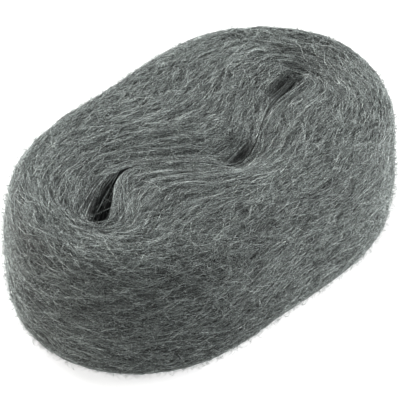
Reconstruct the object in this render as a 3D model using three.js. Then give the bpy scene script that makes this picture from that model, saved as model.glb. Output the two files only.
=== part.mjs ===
// A steel wool pad of the kind sold for rubbing down wood and metal. One long sliver of fine steel
// fibres, standing on edge, is wound round two pins and slid off them as an oval hank. The two runs
// between the pins then close on each other, so a wavy seam is left between two open eyes, and every
// turn follows that seam, more loosely the further out it lies.
//
// The hank is lofted. A section goes from the bottom of the seam, over the turns of the upper face,
// round the rim and the outer wall, and back under the lower face to the seam. One such section
// stands at each station of the loop that the sliver was wound along.
import * as THREE from 'three';

// Driving dimensions in millimetres. X runs along the pad, Y across it and Z up from the bench.
const padLength = 170;
const padWidth = 105; // across the middle
const sliverWidth = 54; // the sliver stands on edge, so its width is the height of the pad
const endFullness = 7.9; // how much further out than an ellipse each side stays towards the ends
const waistSpan = 40; // half the length of side that the winding tension draws in
const outlinePower = 2.03; // 2 is an ellipse and more is squarer
const lean = 0.05; // shift along X of the outline for each millimetre along Y

// The outer wall and its rounded rims.
const rimDepth = 12; // how far in from the wall the rim starts to fall away
const rimPower = 3; // 2 is a round rim and more is squarer
const rimSteepness = 12; // how soon the grooves of the face end on the rim: more is sooner

// The seam between the two runs, and the eyes that the pins left at its ends.
const eyeSpacing = 107.5;
const openEyeRadius = 5.2; // the eye towards -X
const openEyeDepth = 20;
const slimEyeRadius = 2.7; // the eye towards +X, which has nearly closed
const slimEyeDepth = 14;
const eyeTaper = 29; // length of seam over which an eye narrows to the closed seam
const eyeDip = 0.8; // how far the faces sink into an eye
const eyeDipSpan = 5;
const seamGap = 1.2;
const seamDepth = 3.5;
const seamSwing = 13; // how far the seam waves to either side
const seamWave = [0.05, 0.71, 0.73, -0.13, -0.86, -1, -0.47, -0.03, 0.1]; // shares of the swing

// The hollow beside the seam where the front run has buckled inwards.
const pitPlace = 6; // along X
const pitSpan = 9;
const pitDepth = 5.5;

// The wall of the seam, from its bottom up: shares of the seam's width and of its depth.
const seamWall = [
  { width: 0.45, share: 1 },
  { width: 0.8, share: 0.5 },
];

// The two faces, which sink gently towards the seam and show the edge of every turn.
const dipDepth = 2.4;
const dipSpan = 13;
const lipSpan = 3.6; // distance from the seam over which the turns rise out of its smooth lip
const faceTurns = 7;
const turnGroove = 1;
const grooveUneven = 0.3; // share of the groove's depth that comes and goes along a turn
const turnWander = 0.12; // how far a turn strays from its even place, in turns

// The fibres cling in bundles that run along the winding, and swell and thin as they go.
const bundleWidth = 9.5;
const bundleSwell = 0.45; // the most that a bundle rises, or sinks, on the faces and the wall
const bundleStray = 1.1; // how far a bundle strays up and down as it goes round, in radians

// Share of the relief of turns and bundles that the weight of the pad presses flat on the lower face.
const beddedShare = 0.85;

// How finely the loft is divided.
const stationsPerSide = 36;
const stepsPerTurn = 4;
const wallSteps = 30;

const halfLength = padLength / 2;
const halfHeight = sliverWidth / 2;
const openEye = { along: -eyeSpacing / 2, radius: openEyeRadius, depth: openEyeDepth };
const slimEye = { along: eyeSpacing / 2, radius: slimEyeRadius, depth: slimEyeDepth };
const seam = new THREE.SplineCurve(
  seamWave.map((share, i) => {
    const along = openEye.along + (eyeSpacing * i) / (seamWave.length - 1);
    return new THREE.Vector2(along, share * seamSwing);
  }),
);

const signedPower = (value, power) => Math.sign(value) * Math.abs(value) ** power;
const bell = (distance, span) => Math.exp(-((distance / span) ** 2));

// Outline of the wall seen from above: an ellipse of raised power, drawn in at mid length.
// along is the point's place before the outline leans.
function outlineAt(angle) {
  const along = halfLength * signedPower(Math.cos(angle), 2 / outlinePower);
  const halfWidth = padWidth / 2 + endFullness * (1 - bell(along, waistSpan));
  const across = halfWidth * signedPower(Math.sin(angle), 2 / outlinePower);
  return { along, point: new THREE.Vector2(along + lean * across, across) };
}

// Angles that divide each side of the outline into equal lengths, first along the back and then
// along the front. They match in pairs, because the seam is closed between those pairs.
function evenAngles(perSide) {
  const fine = 40 * perSide;
  const lengths = [0];
  for (let i = 1; i <= fine; i += 1) {
    const from = outlineAt((Math.PI * (i - 1)) / fine);
    const to = outlineAt((Math.PI * i) / fine);
    const step = Math.hypot(to.along - from.along, to.point.y - from.point.y);
    lengths.push(lengths[i - 1] + step);
  }
  const back = [];
  for (let k = 0; k <= perSide; k += 1) {
    const wanted = (lengths[fine] * k) / perSide;
    const next = Math.max(1, lengths.findIndex((length) => length >= wanted - 1e-9));
    const share = (wanted - lengths[next - 1]) / (lengths[next] - lengths[next - 1]);
    back.push((Math.PI * (next - 1 + share)) / fine);
  }
  const front = back.slice(1, -1).reverse();
  return [...back, ...front.map((angle) => -angle)];
}

// The nearer eye, and how far the seam has opened towards it: 1 at the eye, 0 where it is closed.
function eyeNear(along) {
  const eye = along < 0 ? openEye : slimEye;
  const away = Math.abs(along - eye.along);
  return { eye, openness: 1 - THREE.MathUtils.smoothstep(away, 0, eyeTaper) };
}

// Centre and edge of the seam beside a place on the outline, its depth, and how far it has opened.
// Between the eyes the edge runs beside the seam, and past an eye it swings round that eye.
function seamAt(angle, along) {
  const share = THREE.MathUtils.clamp((along - openEye.along) / eyeSpacing, 0, 1);
  const centre = seam.getPoint(share);
  const { eye, openness } = eyeNear(centre.x);
  const ahead = seam.getTangent(share);
  const beside = new THREE.Vector2(-ahead.y, ahead.x).multiplyScalar(Math.sign(angle));
  const halfGap = THREE.MathUtils.lerp(seamGap / 2, eye.radius, openness);
  const edge = centre.clone();
  if (share > 0 && share < 1) {
    edge.addScaledVector(beside, halfGap);
  } else {
    const end = share === 1 ? 0 : Math.PI;
    const besideEye = Math.acos(signedPower(eye.along / halfLength, outlinePower / 2));
    const swing = ((Math.PI / 2) * (Math.abs(angle) - end)) / (besideEye - end);
    edge.addScaledVector(beside, eye.radius * Math.sin(swing));
    edge.addScaledVector(ahead, eye.radius * Math.cos(swing) * Math.cos(end));
  }
  return { centre, edge, openness, depth: THREE.MathUtils.lerp(seamDepth, eye.depth, openness) };
}

// Depth of the groove beside a turn. phase counts turns from the seam, and loop is how far round
// the hank the section stands, so that the grooves make one spiral.
function grooveAt(phase, loop) {
  const round = 2 * Math.PI * loop;
  const wandered = phase - loop + turnWander * Math.sin(2 * round + 1.7 * phase);
  const depth = turnGroove * (1 - grooveUneven * (0.5 + 0.5 * Math.sin(3 * round + 2.3 * phase)));
  return depth * (0.5 - 0.5 * Math.cos(2 * Math.PI * wandered));
}

// How far the bundles sink the surface. across is measured over the turns, away from the seam.
function bundleFall(across, loop) {
  const round = 2 * Math.PI * loop;
  const lane = (2 * Math.PI * across) / bundleWidth;
  const ridge = Math.sin(lane + bundleStray * Math.sin(3 * round + 0.2 * lane));
  return bundleSwell * ridge * Math.sin(5 * round + 0.7 * lane + Math.sin(2 * round));
}

// How far a face lies below its crests. distance is measured from the edge of the seam, of which
// reach is the most that a face has. The rest is how the seam is there.
function faceFall(distance, reach, loop, { centre, openness }) {
  const dip = dipDepth * bell(distance, dipSpan) + eyeDip * openness ** 2 * bell(distance, eyeDipSpan);
  const pit = pitDepth * bell(centre.x - pitPlace, pitSpan) * bell(distance, pitSpan);
  const groove = grooveAt((faceTurns * distance) / reach, loop);
  const bundles = bundleSwell + bundleFall(distance, loop);
  return dip + pit + THREE.MathUtils.smoothstep(distance, 0, lipSpan) * (groove + bundles);
}

// Half a face, from the bottom of the seam out to where the rim starts. Each entry holds a place in
// plan and its fall from the crests.
function halfFace(angle, loop) {
  const outline = outlineAt(angle);
  const beside = seamAt(angle, outline.along);
  const { centre, edge, depth } = beside;
  const outwards = outline.point.clone().sub(edge);
  const reach = outwards.length() - rimDepth;
  outwards.normalize();
  const lipFall = faceFall(0, reach, loop, beside);
  const face = seamWall.map(({ width, share }) => ({
    place: centre.clone().lerp(edge, width),
    fall: lipFall + share * depth,
  }));
  const steps = faceTurns * stepsPerTurn;
  for (let i = 0; i <= steps; i += 1) {
    const distance = (reach * i) / steps;
    face.push({
      place: edge.clone().addScaledVector(outwards, distance),
      fall: faceFall(distance, reach, loop, beside),
    });
  }
  return { face, outwards, reach };
}

// One section of the hank, as points from the upper bottom of the seam to the lower one. The wall is
// a superellipse between the two shoulders. The lower face is pressed nearly flat, so it needs only
// every other step.
function sectionAt(angle, loop) {
  const { face, outwards, reach } = halfFace(angle, loop);
  const shoulder = face.at(-1);
  const upper = face.map(
    ({ place, fall }) => new THREE.Vector3(place.x, place.y, sliverWidth - fall),
  );
  const wall = [];
  for (let i = 1; i < wallSteps; i += 1) {
    const level = Math.cos((Math.PI * i) / wallSteps);
    const bulge = (1 - Math.abs(level) ** rimPower) ** (1 / rimPower);
    const across = reach + halfHeight * (1 - level);
    const sunk = (bundleSwell + bundleFall(across, loop)) * bulge;
    const place = shoulder.place.clone().addScaledVector(outwards, rimDepth * bulge - sunk);
    const fall = level > 0 ? shoulder.fall * level ** rimSteepness : 0;
    wall.push(new THREE.Vector3(place.x, place.y, halfHeight * (1 + level) - fall));
  }
  const bedded = beddedShare * (turnGroove + 2 * bundleSwell);
  const kept = face.filter((point, i) => i < seamWall.length || (i - seamWall.length) % 2 === 0);
  const lower = kept.map(
    ({ place, fall }) => new THREE.Vector3(place.x, place.y, Math.max(0, fall - bedded)),
  );
  return [...upper, ...wall, ...lower.reverse()];
}

// Joins the sections into one closed surface. The ends of the sections are the bottoms of the seam,
// above and below, and each is closed by a strip between the two sides of the seam.
function loft(sections) {
  const rows = sections[0].length;
  const count = sections.length;
  const indices = [];
  const vertex = (station, row) => (station % count) * rows + row;
  for (let station = 0; station < count; station += 1) {
    for (let row = 0; row < rows - 1; row += 1) {
      const a = vertex(station, row);
      const b = vertex(station, row + 1);
      const c = vertex(station + 1, row + 1);
      const d = vertex(station + 1, row);
      indices.push(a, b, c, a, c, d);
    }
  }
  for (let station = 0; station < count / 2; station += 1) {
    const mate = count - station;
    const upper = [station, station + 1, mate - 1, mate].map((s) => vertex(s, 0));
    const lower = [station, station + 1, mate - 1, mate].map((s) => vertex(s, rows - 1));
    if (station < count / 2 - 1) {
      indices.push(upper[0], upper[1], upper[2]);
      indices.push(lower[0], lower[2], lower[1]);
    }
    if (station > 0) {
      indices.push(upper[0], upper[2], upper[3]);
      indices.push(lower[0], lower[3], lower[2]);
    }
  }
  const geometry = new THREE.BufferGeometry();
  geometry.setFromPoints(sections.flat());
  geometry.setIndex(indices);
  geometry.computeVertexNormals();
  return geometry;
}

const steelWool = new THREE.MeshStandardMaterial({
  color: new THREE.Color(0.39, 0.41, 0.4),
  roughness: 0.55,
  metalness: 0.6,
});

const sections = evenAngles(stationsPerSide).map((angle, i) =>
  sectionAt(angle, i / (2 * stationsPerSide)),
);
const sliver = new THREE.Mesh(loft(sections), steelWool);
sliver.name = 'wound_sliver';

const pad = new THREE.Group();
pad.add(sliver);

export default pad;
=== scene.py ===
# %% [markdown]
# A steel wool pad is one long sliver of steel fibres, wound flat round two pins and slid off as an
# oval hank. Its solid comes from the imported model. Here the hank gets what a solid can't show:
# bundles of fibre along every turn, thousands of loose strands over them, and a fuzzy edge.

import bpy
import numpy as np
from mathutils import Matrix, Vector


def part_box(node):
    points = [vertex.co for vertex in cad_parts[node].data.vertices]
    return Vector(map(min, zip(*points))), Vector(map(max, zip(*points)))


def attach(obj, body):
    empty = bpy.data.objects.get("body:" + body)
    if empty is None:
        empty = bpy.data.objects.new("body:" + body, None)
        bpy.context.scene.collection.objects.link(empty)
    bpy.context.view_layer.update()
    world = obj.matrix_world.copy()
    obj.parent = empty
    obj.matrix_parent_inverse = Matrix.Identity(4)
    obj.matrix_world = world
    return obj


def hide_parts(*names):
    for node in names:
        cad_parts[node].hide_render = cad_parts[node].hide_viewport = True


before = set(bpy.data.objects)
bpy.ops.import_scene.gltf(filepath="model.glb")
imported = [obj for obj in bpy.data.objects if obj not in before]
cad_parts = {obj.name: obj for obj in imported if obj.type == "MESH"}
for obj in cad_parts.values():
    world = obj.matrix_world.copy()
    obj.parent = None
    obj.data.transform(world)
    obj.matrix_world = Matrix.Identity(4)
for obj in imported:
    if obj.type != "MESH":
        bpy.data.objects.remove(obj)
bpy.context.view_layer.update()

MM = 0.001
node_low, node_high = (np.array(corner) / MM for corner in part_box("wound_sliver"))
print("box of the wound sliver in mm:", node_low.round(1), node_high.round(1))

# %% [markdown]
# The photograph looks down on the pad from well above the bench, from far away through a long lens.
# So the camera stands nearly two metres off. Its height and its turn come from fitting the outline
# of the solid to the outline in the photograph, and a small shift puts the pad where it lies there.

# %% Camera
picture_side = 400  # pixels
sensor_width = 36.0
elevation = np.radians(39.0)
turned = np.radians(46.65)  # how far the view is turned from looking straight across the pad
distance = 1.9
pixels_per_metre = 2710.0  # at the middle of the pad
picture_shift = (1.7, -3.85)  # in pixels, right and down

pad_height = (node_high[2] - node_low[2]) * MM
pad_middle = Vector((0, 0, pad_height / 2))
towards_camera = Vector((
    -np.sin(turned) * np.cos(elevation),
    -np.cos(turned) * np.cos(elevation),
    np.sin(elevation),
))
camera = bpy.data.objects.new("camera", bpy.data.cameras.new("camera"))
camera.location = pad_middle + distance * towards_camera
camera.rotation_euler = towards_camera.to_track_quat("Z", "Y").to_euler()
camera.data.sensor_width = sensor_width
camera.data.lens = sensor_width * pixels_per_metre * distance / picture_side
camera.data.shift_x = -picture_shift[0] / picture_side
camera.data.shift_y = picture_shift[1] / picture_side
camera.data.clip_end = 20
bpy.context.collection.objects.link(camera)
bpy.context.scene.camera = camera
print("lens", round(camera.data.lens), "mm")

# %% [markdown]
# Shader maths reads best as plain arithmetic. This class wraps one output of a node, and adding or
# multiplying two of them puts the Math node in. Every other node comes from its one method, node,
# which sets the node's own settings first and then its sockets.

# %% Shader maths
class Wire:
    """One output of a shader node, on which arithmetic adds Math nodes."""

    def __init__(self, tree, output=None):
        self.tree, self.output = tree, output

    def node(self, kind, settings=None, inputs=None, output=0):
        """A new node with its settings, and then with the values or links of its sockets."""
        made = self.tree.nodes.new(kind)
        for name, value in (settings or {}).items():
            if name == "stops":
                self.set_stops(made.color_ramp, value)
            else:
                setattr(made, name, value)
        for name, value in (inputs or {}).items():
            if isinstance(value, Wire):
                self.tree.links.new(value.output, made.inputs[name])
            else:
                made.inputs[name].default_value = value
        return Wire(self.tree, made.outputs[output])

    @staticmethod
    def set_stops(ramp, stops):
        """Gives a colour ramp its stops, each of them a place from 0 to 1 and a colour."""
        while len(ramp.elements) < len(stops):
            ramp.elements.new(1.0)
        for element, (place, shade) in zip(ramp.elements, stops):
            element.position = place
            element.color = (*shade, 1.0)

    def maths(self, operation, first, second):
        """A Math node, with a number or a wire on each of its two sockets."""
        return self.node("ShaderNodeMath", {"operation": operation}, {0: first, 1: second})

    def __add__(self, other):
        return self.maths("ADD", self, other)

    def __sub__(self, other):
        return self.maths("SUBTRACT", self, other)

    def __rsub__(self, other):
        return self.maths("SUBTRACT", other, self)

    def __mul__(self, other):
        return self.maths("MULTIPLY", self, other)

    __radd__, __rmul__ = __add__, __mul__


def new_material(name):
    """An empty material with an output, and a Wire from which its nodes are made."""
    material = bpy.data.materials.new(name)
    material.use_nodes = True
    material.node_tree.nodes.clear()
    return material, Wire(material.node_tree)


def finish_material(start, shader):
    """Links the shader to a new output of the material."""
    output = start.tree.nodes.new("ShaderNodeOutputMaterial")
    start.tree.links.new(shader.output, output.inputs["Surface"])


# %% [markdown]
# The pad was photographed on pure white under soft light. The top is bright, the right wall is a
# little brighter still, and the long front wall is the darkest. Three large lamps give that: one
# high up behind the pad on the left, for the top, one lower down on the right, and a weaker, warmer
# one low on the left, for the front left wall and the brown tint of its fibres. The floor and the
# world only look white to the camera and to reflections, so the background costs the pad no
# contrast.

# %% Floor, world and light
floor_side = 6.0
floor_gap = 0.0004
floor_colour = (0.8, 0.8, 0.8, 1)
floor_glow = 0.71
world_strength = 0.03
white = (1, 1, 1, 1)


def background_seen(start):
    """1 for a ray from the camera, or one reflected or let through, and 0 for a ray of light."""
    seen = start.node("ShaderNodeLightPath", output="Is Camera Ray")
    for kind in ("Is Glossy Ray", "Is Transmission Ray"):
        other = start.node("ShaderNodeLightPath", output=kind)
        seen = start.maths("MAXIMUM", seen, other)
    return seen


material, start = new_material("pale_floor")
diffuse = start.node("ShaderNodeBsdfDiffuse", inputs={"Color": floor_colour})
glow = start.node(
    "ShaderNodeEmission", inputs={"Color": white, "Strength": background_seen(start) * floor_glow}
)
finish_material(start, start.node("ShaderNodeAddShader", inputs={0: diffuse, 1: glow}))

half = floor_side / 2
mesh = bpy.data.meshes.new("floor")
corners = [(-half, -half), (half, -half), (half, half), (-half, half)]
mesh.from_pydata([(x, y, -floor_gap) for x, y in corners], [], [(0, 1, 2, 3)])
mesh.materials.append(material)
floor = bpy.data.objects.new("floor", mesh)
bpy.context.collection.objects.link(floor)

world = bpy.data.worlds.new("studio")
world.use_nodes = True
world.node_tree.nodes.clear()
start = Wire(world.node_tree)
strength = world_strength + background_seen(start) * (1 - world_strength)
background = start.node("ShaderNodeBackground", inputs={"Color": white, "Strength": strength})
output = world.node_tree.nodes.new("ShaderNodeOutputWorld")
world.node_tree.links.new(background.output, output.inputs["Surface"])
bpy.context.scene.world = world
bpy.context.scene.view_settings.view_transform = "Standard"


def add_lamp(name, side, back, up, size, power, colour=(1, 1, 1)):
    """A square lamp aimed at the pad. side, back and up are metres as the camera sees them."""
    right = Vector((np.cos(turned), -np.sin(turned), 0))
    away = Vector((np.sin(turned), np.cos(turned), 0))
    lamp = bpy.data.lights.new(name, "AREA")
    lamp.size, lamp.energy, lamp.color = size, power, colour
    lamp_object = bpy.data.objects.new(name, lamp)
    place = right * side + away * back + Vector((0, 0, up))
    lamp_object.location = place
    lamp_object.rotation_euler = (place - pad_middle).to_track_quat("Z", "Y").to_euler()
    bpy.context.collection.objects.link(lamp_object)


add_lamp("back_lamp", side=-1.3, back=1.5, up=1.5, size=1.8, power=82)
add_lamp("side_lamp", side=2.0, back=0.3, up=0.7, size=1.8, power=72)
add_lamp("left_lamp", side=-2.2, back=0.0, up=0.4, size=1.8, power=44, colour=(1.0, 0.95, 0.9))

# %% [markdown]
# The hank is a surface of two parameters. loop goes once round the winding, from 0 at the slim end
# to 0.5 at the open end along the back, and on to 1 along the front. row goes down the section:
# 0 to 1 up the wall of the seam, 1 to 2 over the upper face, 2 to 3 over the rim and down the outer
# wall, 3 to 4 under the lower face, and 4 to 5 up into the seam from below. Separate turns could be
# modelled one by one, but they would show joins, and one formula keeps turns, seam and eyes in step.
# The sizes are those of the solid, with three differences that the photograph asks for: loose fibre
# bridges the grooves, so they are shallower, the back lip of each eye sags, and the back wall of the
# open eye leans in.

# %% Sizes of the hank, in millimetres
pad_length = 170.0
width_at_middle = 105.0
sliver_width = 54.0  # it stands on edge, so this is the height
end_fullness, waist_span, outline_power, lean = 7.9, 40.0, 2.03, 0.05
rim_depth, rim_power, rim_steepness = 12.0, 3.0, 12
eye_spacing = 107.5
open_eye = {"along": -eye_spacing / 2, "radius": 5.2, "depth": 20.0}
slim_eye = {"along": eye_spacing / 2, "radius": 2.7, "depth": 14.0}
eye_taper, eye_dip, eye_dip_span = 29.0, 0.8, 5.0
seam_gap, seam_depth, seam_swing = 0.6, 2.0, 13.0  # the gap is nearly closed by strands
seam_wave = np.array([0.05, 0.71, 0.73, -0.13, -0.86, -1.0, -0.47, -0.03, 0.1])
pit_place, pit_span, pit_depth = 6.0, 9.0, 5.5
dip_depth, dip_span, lip_span = 2.4, 13.0, 3.6
face_turns, turn_groove, groove_uneven, turn_wander = 7, 0.7, 0.3, 0.12
bundle_width, bundle_swell, bundle_stray = 9.5, 0.45, 1.1
slumps = [(-50.0, 1.2), (46.0, 3.2)]  # where the back lip of each eye sags, and how far
slump_length, slump_width = 9.0, 3.2
leaning_wall = {"along": -52.0, "span": 14.0, "share": 0.4}  # of the open eye, at the back
narrowing_rate, narrowing_growth = 0.25, 0.3  # of the seam and the eyes, on the way down
bedded = 0.85 * (turn_groove + 2 * bundle_swell)  # what the pad's weight presses flat underneath


def signed_power(value, power):
    """The size of the value raised to the power, with the value's sign."""
    return np.sign(value) * np.abs(value) ** power


def bell(away, span):
    """1 in the middle, falling off on both sides as e to the minus square of away over span."""
    return np.exp(-((away / span) ** 2))


def smooth_step(value, low, high):
    """0 below low, 1 above high, and between them a curve that is level at both ends."""
    t = np.clip((value - low) / (high - low), 0, 1)
    return t * t * (3 - 2 * t)


# %% Outline and seam, seen from above
def outline_at(angle):
    """An ellipse of raised power, whose sides are drawn in at mid length, leaned along X.
    Returns the place along X before the lean, and the point."""
    along = pad_length / 2 * signed_power(np.cos(angle), 2 / outline_power)
    half_width = width_at_middle / 2 + end_fullness * (1 - bell(along, waist_span))
    across = half_width * signed_power(np.sin(angle), 2 / outline_power)
    return along, np.stack([along + lean * across, across], -1)


side_angles = np.linspace(0, np.pi, 3000)
side_along, side_points = outline_at(side_angles)
walked = np.hypot(np.diff(side_along), np.diff(side_points[:, 1])).cumsum()
walked = np.concatenate([[0], walked]) / walked[-1]


def angle_at(loop):
    """The outline's angle after a share of the loop, counted by length walked along its sides."""
    folded = 1 - np.abs(1 - 2 * (loop % 1))
    return np.where(loop % 1 <= 0.5, 1, -1) * np.interp(folded, walked, side_angles)


def seam_at(share):
    """Centre line of the seam and its direction, as a curve of cubic pieces through points that
    are evenly spaced along X and swing to either side by the shares in seam_wave."""
    along = np.linspace(open_eye["along"], slim_eye["along"], len(seam_wave))
    points = np.stack([along, seam_wave * seam_swing], -1)
    slopes = np.gradient(points, axis=0)
    slopes[[0, -1]] /= 2
    place = np.clip(share, 0, 1) * (len(points) - 1)
    i = np.minimum(place.astype(int), len(points) - 2)
    t = (place - i)[..., None]
    start, end, leave, arrive = points[i], points[i + 1], slopes[i], slopes[i + 1]
    bend = 2 * start - 2 * end + leave + arrive
    swell = 3 * end - 3 * start - 2 * leave - arrive
    centre = start + t * (leave + t * (swell + t * bend))
    ahead = leave + t * (2 * swell + t * 3 * bend)
    return centre, ahead / np.linalg.norm(ahead, axis=-1, keepdims=True)


def seam_edge(angle, along):
    """Centre and edge of the seam beside a place on the outline, how far it has opened into an
    eye, and its depth. Past an eye the edge swings round that eye."""
    share = np.clip((along - open_eye["along"]) / eye_spacing, 0, 1)
    centre, ahead = seam_at(share)
    side = np.sign(np.round(angle, 9))
    beside = np.stack([-ahead[..., 1], ahead[..., 0]], -1) * side[..., None]
    slim = centre[..., 0] > 0
    eye = {k: np.where(slim, slim_eye[k], open_eye[k]) for k in open_eye}
    openness = 1 - smooth_step(np.abs(centre[..., 0] - eye["along"]), 0, eye_taper)
    half_gap = seam_gap / 2 + openness * (eye["radius"] - seam_gap / 2)
    end = np.where(share == 1, 0, np.pi)
    beside_eye = np.arccos(signed_power(eye["along"] / (pad_length / 2), outline_power / 2))
    swing = np.pi / 2 * (np.abs(angle) - end) / (beside_eye - end)
    swing = np.where((share > 0) & (share < 1), np.pi / 2, swing)[..., None]
    ends = np.cos(end)[..., None] * ahead
    edge = centre + half_gap[..., None] * (np.sin(swing) * beside + np.cos(swing) * ends)
    return centre, edge, openness, seam_depth + openness * (eye["depth"] - seam_depth)


# %% The surface of the hank
rim_level = np.cos(np.linspace(0, np.pi, 2001))
rim_bulge = (1 - np.abs(rim_level) ** rim_power) ** (1 / rim_power)
rim_steps = np.hypot(np.diff(rim_depth * rim_bulge), np.diff(sliver_width / 2 * rim_level))
rim_walked = np.concatenate([[0], rim_steps.cumsum() / rim_steps.sum()])


def groove_at(phase, loop):
    """Depth of the groove beside a turn. The phase less the loop makes the grooves one spiral."""
    round_ = 2 * np.pi * loop
    wandered = phase - loop + turn_wander * np.sin(2 * round_ + 1.7 * phase)
    depth = turn_groove * (1 - groove_uneven * (0.5 + 0.5 * np.sin(3 * round_ + 2.3 * phase)))
    return depth * (0.5 - 0.5 * np.cos(2 * np.pi * wandered))


def bundle_fall(across, loop):
    """How far the bundles of fibre sink the surface, at a distance across the turns. Ridges side
    by side stray up and down round the loop, and swell and thin along it."""
    round_ = 2 * np.pi * loop
    lane = 2 * np.pi * across / bundle_width
    ridge = np.sin(lane + bundle_stray * np.sin(3 * round_ + 0.2 * lane))
    return bundle_swell * ridge * np.sin(5 * round_ + 0.7 * lane + np.sin(2 * round_))


def hank_at(loop, row):
    """A point of the hank for each pair of loop and row, by the section described above."""
    angle = angle_at(loop)
    along, outer = outline_at(angle)
    centre, edge, openness, depth = seam_edge(angle, along)
    outwards = outer - edge
    length = np.linalg.norm(outwards, axis=-1)
    outwards = outwards / length[..., None]
    reach = length - rim_depth

    lower = row > 2.5
    out_share = np.clip(np.where(lower, 4 - row, row - 1), 0, 1)
    sunk = np.clip(np.where(lower, row - 4, 1 - row), 0, 1)
    fallen = out_share * reach
    fall = dip_depth * bell(fallen, dip_span)
    fall += pit_depth * bell(centre[..., 0] - pit_place, pit_span) * bell(fallen, pit_span)
    fall += eye_dip * openness ** 2 * bell(fallen, eye_dip_span)
    ridged = groove_at(face_turns * out_share, loop) + bundle_swell + bundle_fall(fallen, loop)
    fall += smooth_step(fallen, 0, lip_span) * ridged + sunk ** 2 * depth
    at_back = angle > 0
    for place, sag in slumps:
        fall += sag * bell(centre[..., 0] - place, slump_length) * bell(fallen, slump_width) * at_back

    wall = np.clip(row - 2, 0, 1)
    level = np.interp(wall, rim_walked, rim_level)
    bulge = (1 - np.abs(level) ** rim_power) ** (1 / rim_power)
    across = reach + sliver_width / 2 * (1 - level)
    out = bulge * (rim_depth - bundle_swell - bundle_fall(across, loop))
    on_wall = (wall > 0) & (wall < 1)
    on_rim = sliver_width / 2 * (1 + level) - fall * np.maximum(level, 0) ** rim_steepness
    top = np.where(on_wall, on_rim, sliver_width - fall)
    under = np.where(on_wall, sliver_width / 2 * (1 + level), np.maximum(fall - bedded, 0))
    sloping = leaning_wall["share"] * bell(along - leaning_wall["along"], leaning_wall["span"]) * at_back
    narrowing = 1 - sunk * (narrowing_rate + narrowing_growth * sunk) - sloping * 4 * sunk * (1 - sunk)
    flat = centre + (edge - centre) * narrowing[..., None]
    flat = flat + outwards * (fallen + out)[..., None]
    return np.concatenate([flat, np.where(lower, under, top)[..., None]], -1)


check = hank_at(np.array([0.0, 0.25, 0.5, 0.75]), np.full(4, 2.5))
print("outer wall at the four quarters in mm:\n", check.round(1))

# %% [markdown]
# The pad's body is that surface worked out on a fine grid. Steel fibres cling into bundles, and
# the bundles part here and there and leave short dark hollows that lie along the winding. A smooth
# random field, stretched along the turns, raises and sinks the surface by fractions of a
# millimetre, so that the light finds the same small ridges and gaps as on the real thing.

# %% Smooth random fields on the hank
perimeter = 440.0  # round the outer wall, in millimetres
section_length = 50.0  # of one row of the section, on average
body_inset = 0.5  # how far the body lies under the solid's surface, to leave the strands room
bundle_fields = [(0.1, 34, 3.6), (0.08, 17, 1.7), (0.06, 9, 0.9)]  # height, then cell length and width
parting_depth, parting_length, parting_width = 0.4, 12, 2.4  # the dark hollows between bundles


def random_field(loop, row, along, across, seed):
    """Random numbers on a lattice with cells about along by across millimetres, blended smoothly
    between lattice points. The lattice closes on itself round the loop."""
    cells = max(3, round(perimeter / along))
    lanes = round(5 * section_length / across) + 2
    lattice = np.random.default_rng(seed).uniform(-1, 1, (lanes, cells))
    x = (loop % 1) * cells
    y = row * section_length / across
    i, j = np.floor(x).astype(int), np.floor(y).astype(int).clip(0, lanes - 2)
    tx, ty = (smooth_step(t, 0, 1) for t in (x - i, y - j))
    i, beyond = i % cells, (i + 1) % cells
    near = lattice[j, i] * (1 - tx) + lattice[j, beyond] * tx
    far = lattice[j + 1, i] * (1 - tx) + lattice[j + 1, beyond] * tx
    return near * (1 - ty) + far * ty


def bundle_height(loop, row):
    """How far the bundles raise the surface, in millimetres: three fields, each finer and shallower
    than the last, and dark hollows where a fourth is lowest."""
    height = 0
    for seed, (tall, length, width) in enumerate(bundle_fields, start=11):
        height = height + tall * random_field(loop, row, length, width, seed)
    parting = random_field(loop, row, parting_length, parting_width, seed=14)
    return height - parting_depth * smooth_step(-parting, 0.55, 1)


# %% The grid of the hank
loops = np.arange(360) / 360
rows = np.concatenate([
    np.linspace(0, 1, 7)[:-1],
    np.linspace(1, 2, 47)[:-1],
    np.linspace(2, 3, 39)[:-1],
    np.linspace(3, 4, 21)[:-1],
    np.linspace(4, 5, 5),
])
grid_loop, grid_row = np.meshgrid(loops, rows, indexing="ij")
smooth_hank = hank_at(grid_loop, grid_row)


def slopes_of(points):
    """Change of place for one unit of loop and for one unit of row, at every grid point."""
    round_ = (np.roll(points, -1, 0) - np.roll(points, 1, 0)) * len(loops) / 2
    return round_, np.gradient(points, rows, axis=1)


def unit(vectors):
    """The vectors, each divided by its length."""
    return vectors / np.maximum(np.linalg.norm(vectors, axis=-1, keepdims=True), 1e-12)


round_way, down_way = slopes_of(smooth_hank)
normals = unit(np.cross(down_way, round_way))
quiet = smooth_step(grid_row, 0.6, 1.1) * smooth_step(4.6 - grid_row, 0, 0.7)  # 0 down in the seam
raised = quiet * bundle_height(grid_loop, grid_row) - body_inset
hank = smooth_hank + normals * raised[..., None]
hank[..., 2] = np.clip(hank[..., 2], 0, sliver_width)
hank_round, hank_down = slopes_of(hank)
hank_normals = unit(np.cross(hank_down, hank_round))
print("grid of the hank:", hank.shape, "mean normal z on top:", hank_normals[:, 20, 2].mean().round(2))


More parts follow.
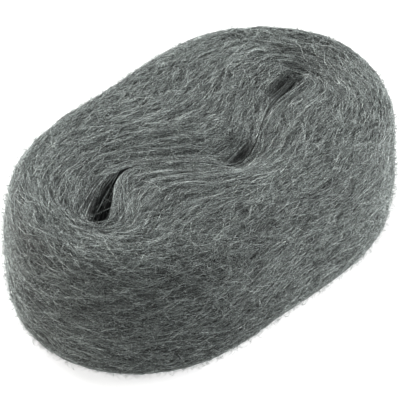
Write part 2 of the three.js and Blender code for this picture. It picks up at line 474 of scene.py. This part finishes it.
# %% Meshes from arrays
def add_piece(name, points, triangles, material):
    """A smooth mesh object at the origin, from points in millimetres and corner numbers."""
    mesh = bpy.data.meshes.new(name)
    mesh.vertices.add(len(points))
    mesh.vertices.foreach_set("co", (points * MM).astype(np.float32).ravel())
    mesh.loops.add(triangles.size)
    mesh.loops.foreach_set("vertex_index", triangles.astype(np.int32).ravel())
    mesh.polygons.add(len(triangles))
    mesh.polygons.foreach_set("loop_start", np.arange(0, triangles.size, 3, dtype=np.int32))
    mesh.update(calc_edges=True)
    mesh.polygons.foreach_set("use_smooth", np.ones(len(triangles), bool))
    mesh.materials.append(material)
    piece = bpy.data.objects.new(name, mesh)
    bpy.context.collection.objects.link(piece)
    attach(piece, "root")
    corners = points[triangles]
    volume = np.einsum("ij,ij->", corners[:, 0], np.cross(corners[:, 1], corners[:, 2])) / 6
    print(name, len(triangles), "triangles, volume", round(volume / 1000, 2), "cm3")
    return piece


def add_attribute(piece, name, kind, values):
    """Stores one value, or one vector, for each vertex under a name that a material can read."""
    layer = piece.data.attributes.new(name, kind, "POINT")
    layer.data.foreach_set("vector" if values.ndim > 1 else "value", values.astype(np.float32).ravel())


# %% Triangles of the body
count, per_section = hank.shape[:2]
station, lane = np.meshgrid(np.arange(count), np.arange(per_section - 1), indexing="ij")
beyond = (station + 1) % count
a, b = station * per_section + lane, station * per_section + lane + 1
c, d = beyond * per_section + lane + 1, beyond * per_section + lane
skin = np.concatenate([np.stack([a, b, c], -1), np.stack([a, c, d], -1)]).reshape(-1, 3)


def close_seam(row, flip):
    """Triangles across the bottom of the seam, between each station of the back and its mate."""
    back = np.arange(count // 2)
    one, two = back, back + 1
    mate, before = (count - back) % count, count - back - 1
    halves = [np.stack([one, two, before], -1)[:-1], np.stack([one, before, mate], -1)[1:]]
    closed = np.concatenate(halves) * per_section + row
    return closed[:, ::-1] if flip else closed


body_triangles = np.concatenate([skin, close_seam(0, False), close_seam(per_section - 1, True)])

# %% [markdown]
# Fibres finer than any mesh still show as streaks along the winding. They come from noise on a
# coordinate of the hank's own, kept with every vertex: two numbers place a point round a circle, so
# that the pattern closes on itself, and the third counts across the turns, and strays a little, so
# that the streaks aren't all parallel. Stretching the first two makes every speck a streak.

# %% Material of the body
# The body shows only in the gaps between strands, so its colours are painted shade of the wool's depth,
# from near black up to a grey a third as light as the strands'.
body_painted_shade, body_grey_in_painted_shade = (0.01, 0.0105, 0.01), (0.17, 0.187, 0.18)
streak_length, streak_width = 9.0, 0.9  # millimetres
# Painted shade in patches where the surface sinks: each darkens the tone as if shade fell there.
painted_shade_patches = [  # share of the tone lost, place and span along the pad, and those beside the seam
    (1.1, 9, 8, 2.0, 2.4),  # the hollow beside the seam
    (1.1, 48, 10.5, 2.8, 3.0),  # the slope into the slim eye
    (0.85, -50, 9, 5.5, 3.0),  # the back bank of the open eye
]
# Painted shade along the valley of the seam, and a darker front side, from front_start to front_full
# millimetres beside the seam.
valley_painted_shade, valley_span = 0.2, 13
front_loss, front_place, front_span = 0.25, -33, 35
front_start, front_full = 8, 25
most_loss = 0.95


def winding_at(loop, row):
    """Place of a point in the pattern of streaks: round a circle along the loop, then across it."""
    ring = perimeter / (2 * np.pi) / streak_length
    angle = 2 * np.pi * loop
    across = row * section_length + 1.5 * random_field(loop, row, 20, 6, seed=16)
    return np.stack([ring * np.cos(angle), ring * np.sin(angle), across / streak_width], -1)


def painted_shade(points):
    """How much of its tone a strand, or the body, keeps: painted shade. The patches and the valley
    along the seam are hollows where shade falls, and each takes a share as painted shade. The front
    side, from front_start to front_full millimetres beside the seam, takes a share as well, so it is
    darker. Where places overlap, the largest share counts."""
    along, beside = points[..., 0], points[..., 1]
    centre, _ = seam_at((along - open_eye["along"]) / eye_spacing)
    beside = beside - centre[..., 1]
    losses = [
        loss * bell(along - place, length) * bell(beside - away, width)
        for loss, place, length, away, width in painted_shade_patches
    ]
    losses.append(valley_painted_shade * bell(beside, valley_span))
    front = smooth_step(-beside, front_start, front_full)
    losses.append(front_loss * bell(along - front_place, front_span) * front)
    return 1 - np.minimum(np.maximum.reduce(losses), most_loss)


def streak_noise(start):
    """Noise along the winding, from the places kept with the mesh."""
    place = start.node("ShaderNodeAttribute", {"attribute_name": "winding"}, output="Vector")
    inputs = {"Vector": place, "Scale": 1.0, "Detail": 3.0, "Roughness": 0.8}
    return start.node("ShaderNodeTexNoise", inputs=inputs)


material, start = new_material("packed_steel_fibres")
streaks = streak_noise(start)
# The tone kept with the body is painted shade, and it darkens the streaks before the ramp.
tone = start.node("ShaderNodeAttribute", {"attribute_name": "tone"}, output="Fac")
shade = start.node(
    "ShaderNodeValToRGB",
    {"stops": [(0.36, body_painted_shade), (0.66, body_grey_in_painted_shade)]},
    {"Fac": streaks * tone},
)
bump = start.node(
    "ShaderNodeBump", inputs={"Strength": 0.7, "Distance": 0.3 * MM, "Height": streaks}
)
finish_material(start, start.node(
    "ShaderNodeBsdfPrincipled",
    inputs={"Base Color": shade, "Roughness": 0.6, "Metallic": 0.4, "Normal": bump},
))

# %% Body of the pad
body = add_piece("wool_body", hank.reshape(-1, 3), body_triangles, material)
add_attribute(body, "winding", "FLOAT_VECTOR", winding_at(grid_loop, grid_row).reshape(-1, 3))
# The body's tone is nothing but painted shade, with the darker front side.
add_attribute(body, "tone", "FLOAT", painted_shade(hank).ravel())
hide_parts("wound_sliver")

# %% [markdown]
# Over the body lie the strands that are seen one by one. Each is a path on the hank: it starts
# somewhere on the surface, runs round the winding a little askew, and waves from side to side and
# up and down. A real fibre is far thinner than a picture can show, and what shows is a wisp of
# several, so a strand here is a slim three-sided prism that comes to a point at both ends.

# %% Places on the hank
def sample(grid, loop, row):
    """Values of a grid between its points, blended linearly, closed round the loop."""
    x, y = (loop % 1) * len(loops), np.interp(row, rows, np.arange(len(rows)))
    i, j = np.floor(x).astype(int), np.minimum(np.floor(y).astype(int), len(rows) - 2)
    tx, ty = (x - i)[..., None], (y - j)[..., None]
    i, beyond = i % len(loops), (i + 1) % len(loops)
    near = grid[i, j] * (1 - tx) + grid[beyond, j] * tx
    far = grid[i, j + 1] * (1 - tx) + grid[beyond, j + 1] * tx
    return near * (1 - ty) + far * ty


cell_area = np.linalg.norm(np.cross(hank_down, hank_round), axis=-1) * np.gradient(rows)


def scatter(dice, count, first_row, last_row, first_loop=0.0, last_loop=1.0):
    """Starting places spread evenly by area over a part of the hank."""
    turned_loop = (grid_loop - first_loop) % 1
    inside = (grid_row >= first_row) & (grid_row <= last_row)
    inside &= turned_loop <= last_loop - first_loop
    chance = (cell_area * inside).ravel().cumsum()
    picked = np.searchsorted(chance, dice.random(count) * chance[-1])
    loop = grid_loop.ravel()[picked] + dice.uniform(-0.5, 0.5, count) / len(loops)
    row = grid_row.ravel()[picked] + dice.uniform(-0.5, 0.5, count) * np.diff(rows).mean()
    return loop, np.clip(row, first_row, last_row)


def trace(dice, loop, row, length, steps, spread, crinkle, bend, limits):
    """Walks over the hank from each start. The heading is an angle off the winding: a local one
    that neighbours share, one of the strand's own, a random walk that is drawn back to these, and
    a bend that adds up along the way. Returns every place as loop and row."""
    own = dice.normal(0, spread, len(loop))
    bent = dice.uniform(-1, 1, len(loop)) * bend
    way = dice.choice([-1.0, 1.0], len(loop))
    stray = dice.normal(0, crinkle, len(loop))
    step = length / steps
    places = [(loop, row)]
    for k in range(steps):
        local = 0.2 * random_field(loop, row, 16, 5, seed=15)
        angle = way * local + own + stray + bent * (k - steps / 2)
        stray = 0.55 * stray + dice.normal(0, crinkle, len(loop))
        along = np.linalg.norm(sample(hank_round, loop, row), axis=-1)
        across = np.linalg.norm(sample(hank_down, loop, row), axis=-1)
        loop = loop + way * step * np.cos(angle) / np.maximum(along, 30)
        row = np.clip(row + step * np.sin(angle) / np.maximum(across, 5), *limits)
        places.append((loop, row))
    return tuple(np.stack(part, 1) for part in zip(*places))


# %% Strands along the winding and across the seam
def lay(seed, count, region, length=(6, 20), steps=4, spread=0.3, crinkle=0.16, bend=0.12,
        lift=(0.0, 0.9), held=1.0, sway=0.08, sink=0.3, width=(0.07, 0.19), tone=(0.45, 0.3),
        painted_glints=0.08, limits=(0.5, 4.0)):
    """Strands that run along the winding, as points in millimetres, the direction out of the body,
    their widths, their tones and their places in the pattern of streaks. A tone is a random grey with
    painted shade, and for some strands a painted glint. A strand rises in its middle, by a sine over
    its length, and sinks into the body at its ends, and near the lip of the seam it lies down. With
    held at 0.5 its far end stands free. glints is the share of strands painted bright as glints, and
    limits are the rows between which a strand stays."""
    dice = np.random.default_rng(seed)
    loop, row = scatter(dice, count, *region)
    long_ = dice.uniform(*length, count)
    loop, row = trace(dice, loop, row, long_, steps, spread, crinkle, bend, limits)
    arch = np.sin(np.pi * held * np.linspace(0, 1, steps + 1)) ** 0.6
    height = dice.uniform(*lift, (count, 1)) * arch - sink * (1 - arch)
    height = (height + dice.normal(0, sway, loop.shape)) * smooth_step(row, 0.85, 1.25)
    out = sample(hank_normals, loop, row)
    points = sample(hank, loop, row) + out * height[..., None]
    points[..., 2] = np.maximum(points[..., 2], 0.1)
    # A random grey for each strand, and a painted glint for some. Then painted shade: darker the deeper
    # a strand lies in the seam or an eye, and in the hollows.
    shade = np.clip(dice.normal(*tone, count), 0, 1) + (dice.random(count) < painted_glints)
    shade = shade[:, None] * smooth_step(row, 0.0, 0.9) * painted_shade(points)
    return points, out, dice.uniform(*width, count), shade, winding_at(loop, row)


def cross(seed, count, first_loop, last_loop, length=(7, 14), steps=5, slant=1.0, sag=0.8,
          width=(0.1, 0.2), tone=(0.45, 0.25)):
    """Strands that leave one side of the seam, or of an eye, and come down on the other side. The
    station straight across the seam has the opposite loop, so a strand goes from one to the other
    while it runs along."""
    dice = np.random.default_rng(seed)
    start = dice.uniform(first_loop, last_loop, count)
    share = np.linspace(-0.5, 0.5, steps + 1) + np.zeros((count, 1))
    along = np.linalg.norm(sample(hank_round, start, np.full(count, 1.02)), axis=-1)
    loop = start[:, None] + share * (dice.uniform(*length, count) / np.maximum(along, 60))[:, None]
    over = smooth_step(share * slant + dice.normal(0, 0.25, (count, 1)), -0.5, 0.5)
    row = 1.0 + 0.12 * dice.random((count, 1)) + 0.03 * dice.normal(0, 1, loop.shape)
    row = np.maximum(row, 1.0)
    near, far = sample(hank, loop, row), sample(hank, -loop, row)
    points = near * (1 - over[..., None]) + far * over[..., None]
    points[..., 2] += dice.uniform(-0.2, 0.5, (count, 1)) + dice.normal(0, 0.1, loop.shape)
    points[..., 2] -= 4 * sag * over * (1 - over)
    out = unit(sample(hank_normals, loop, row) + sample(hank_normals, -loop, row) + [0, 0, 0.5])
    # A random grey for each strand, with painted shade in the hollows.
    shade = np.clip(dice.normal(*tone, count), 0, 1)[:, None] * painted_shade(points)
    return points, out, dice.uniform(*width, count), shade, winding_at(loop, row)


# %% [markdown]
# Blender could draw such strands as hair or as curves, but a part for reuse has to be a plain mesh.
# So every path becomes a closed prism on a small triangle, the least that has a lit side and a shady
# side. All strands of a batch have the same number of steps, so they are worked out as one array.

# %% Mesh of the strands
def strand_mesh(points, out, width):
    """Three-sided prisms along the paths, one vertex at each end and three at each step between,
    set round the path in the plane of the surface's normal and the path's side."""
    many, steps = points.shape[0], points.shape[1] - 2
    ahead = unit(np.gradient(points, axis=1))
    side = unit(np.cross(ahead, out))
    up = np.cross(side, ahead)
    taper = np.sin(np.pi * np.arange(1, steps + 1) / (steps + 1)) ** 0.5
    radius = 0.58 * width[:, None] * taper
    corners = []
    for turn in (np.pi / 2, np.pi * 7 / 6, np.pi * 11 / 6):
        offset = np.cos(turn) * side[:, 1:-1] + np.sin(turn) * up[:, 1:-1]
        corners.append(points[:, 1:-1] + radius[..., None] * offset)
    rings = np.stack(corners, 2).reshape(many, steps * 3, 3)
    vertices = np.concatenate([points[:, :1], rings, points[:, -1:]], 1)

    k = np.arange(3)
    here, beyond = 1 + k, 1 + (k + 1) % 3
    first = np.stack([np.zeros(3, int), here, beyond], -1)
    last = np.stack([np.full(3, 4), beyond, here], -1) + 3 * (steps - 1)
    between = []
    for s in range(steps - 1):
        a, b = here + 3 * s, beyond + 3 * s
        c, d = b + 3, a + 3
        between += [np.stack([a, c, b], -1), np.stack([a, d, c], -1)]
    one = np.concatenate([first, *between, last])
    start = np.arange(many)[:, None, None] * vertices.shape[1]
    return vertices.reshape(-1, 3), (one[None] + start).reshape(-1, 3)


# %% [markdown]
# Steel wool is a dull grey from a distance, and a single fibre flashes where it faces the light. Here
# the flashes are painted: some strands and specks are coloured bright as glints. The tone kept with
# each vertex sets a strand's own grey, with painted shade in the hollows, the seam and the eyes.
# Streaks along the winding vary it, and specks about one pixel wide stand for crossings of fibres
# that are too fine to model, as painted glints and painted shade. One ramp turns the result into
# colour, from painted shade between fibres to a painted flash, so no part of it needs an image.

# %% Material of the strands
# The darkest colour is painted shade between fibres, and the brightest a painted glint.
dark_strand_and_painted_shade, strand_light = (0.014, 0.015, 0.0145), (0.51, 0.564, 0.544)
strand_painted_glint = (0.8, 0.86, 0.835)
streak_contrast = 1.2
speck_size, speck_contrast = 0.4, 3.8  # millimetres, and a share of the tone

strand_steel, start = new_material("steel_strands")
tone = start.node("ShaderNodeAttribute", {"attribute_name": "tone"}, output="Fac")
place = start.node("ShaderNodeTexCoord", output="Object")
# Specks of painted glint and painted shade, about one pixel wide.
glint_and_shade_specks = start.node(
    "ShaderNodeTexNoise", inputs={"Vector": place, "Scale": 1 / (speck_size * MM), "Detail": 0.0}
)
mottle = (streak_noise(start) - 0.5) * streak_contrast + (glint_and_shade_specks - 0.5) * speck_contrast
shaded = tone * (0.5 + mottle * 0.5)
shade = start.node(
    "ShaderNodeValToRGB",
    {"stops": [(0.0, dark_strand_and_painted_shade), (0.5, strand_light), (1.0, strand_painted_glint)]},
    {"Fac": shaded},
)
finish_material(start, start.node(
    "ShaderNodeBsdfPrincipled",
    inputs={"Base Color": shade, "Roughness": 0.55, "Metallic": 0.5},
))


# %% [markdown]
# The wool is dressed in layers, the way it is seen. First come the dense strands that follow the
# turns on each face and wall, split by side so that no piece grows past 200,000 triangles. Then come
# those that line the eyes and cross the seam, and last the loose ones, which stray and stand off.
# The shortest of these stand off the rims and walls and make the outline fuzzy.

# %% Pieces of strands
def add_strands(name, *batches):
    """One piece of one or more batches of strands."""
    vertices, triangles, tones, windings = [], [], [], []
    for points, out, width, shade, winding in batches:
        some, corners = strand_mesh(points, out, width)
        triangles.append(corners + sum(map(len, vertices)))
        vertices.append(some)
        repeats = [1] + [3] * (points.shape[1] - 2) + [1]
        tones.append(np.repeat(shade, repeats, axis=1).ravel())
        windings.append(np.repeat(winding, repeats, axis=1).reshape(-1, 3))
    piece = add_piece(name, np.concatenate(vertices), np.concatenate(triangles), strand_steel)
    add_attribute(piece, "tone", "FLOAT", np.concatenate(tones))
    add_attribute(piece, "winding", "FLOAT_VECTOR", np.concatenate(windings))
    return piece


face, wall = (1.0, 2.1), (2.05, 3.0)
add_strands("back_face_strands", lay(31, 9600, (*face, 0.0, 0.5)))
add_strands("front_face_strands", lay(32, 10400, (*face, 0.5, 1.0)))
add_strands("back_wall_strands", lay(33, 5500, (*wall, 0.0, 0.5)))
add_strands("front_wall_strands", lay(34, 11000, (*wall, 0.5, 1.0)))
add_strands("lower_face_strands", lay(35, 1500, (3.0, 4.0), lift=(0.1, 0.6)))

in_eye = {"limits": (0.05, 2.0), "length": (4, 10), "lift": (0, 0.4), "tone": (0.5, 0.3)}
over_eye = {"slant": 1.3, "sag": 1.6, "width": (0.04, 0.07), "tone": (0.5, 0.2)}
add_strands(
    "seam_strands",
    lay(36, 900, (0.3, 1.0, 0.31, 0.69), **in_eye),
    lay(37, 260, (0.3, 1.0, -0.19, 0.19), **in_eye),
    cross(38, 200, 0.18, 0.31, tone=(0.3, 0.2), width=(0.07, 0.13)),
    cross(39, 8, 0.32, 0.42, **over_eye),
    cross(40, 110, 0.11, 0.19, width=(0.06, 0.12), tone=(0.5, 0.3)),
    lay(44, 1200, (1.0, 1.35), spread=0.7, lift=(0.2, 0.9), width=(0.07, 0.15)),
)
loose = {"crinkle": 0.12, "sway": 0.1}
add_strands(
    "loose_strands",
    lay(41, 2700, (1.0, 3.0), length=(8, 24), spread=0.6, bend=0.25, lift=(0.4, 1.5),
        width=(0.06, 0.11), tone=(0.68, 0.2), **loose),
    lay(42, 2300, (1.0, 3.0), length=(3, 8), spread=0.6, bend=0.4, lift=(0.5, 2.0),
        held=0.7, width=(0.07, 0.13), tone=(0.4, 0.2), **loose),
    # The next two batches hold painted glints: half of the first and all of the second are painted
    # bright.
    lay(45, 220, (1.8, 2.45, 0.65, 0.69), length=(6, 14), spread=1.2, lift=(0.7, 1.9),
        width=(0.06, 0.1), tone=(0.8, 0.2), painted_glints=0.5, **loose),
    lay(46, 170, (1.1, 2.8), length=(14, 30), spread=0.7, bend=0.3, lift=(0.6, 1.6),
        width=(0.06, 0.1), tone=(0.5, 0.2), painted_glints=1.0, **loose),
    lay(43, 13500, (1.75, 3.0), length=(1.5, 4.5), steps=2, spread=1.0, lift=(0.5, 3.4),
        held=0.5, width=(0.1, 0.15), tone=(0.7, 0.2), **loose),
)
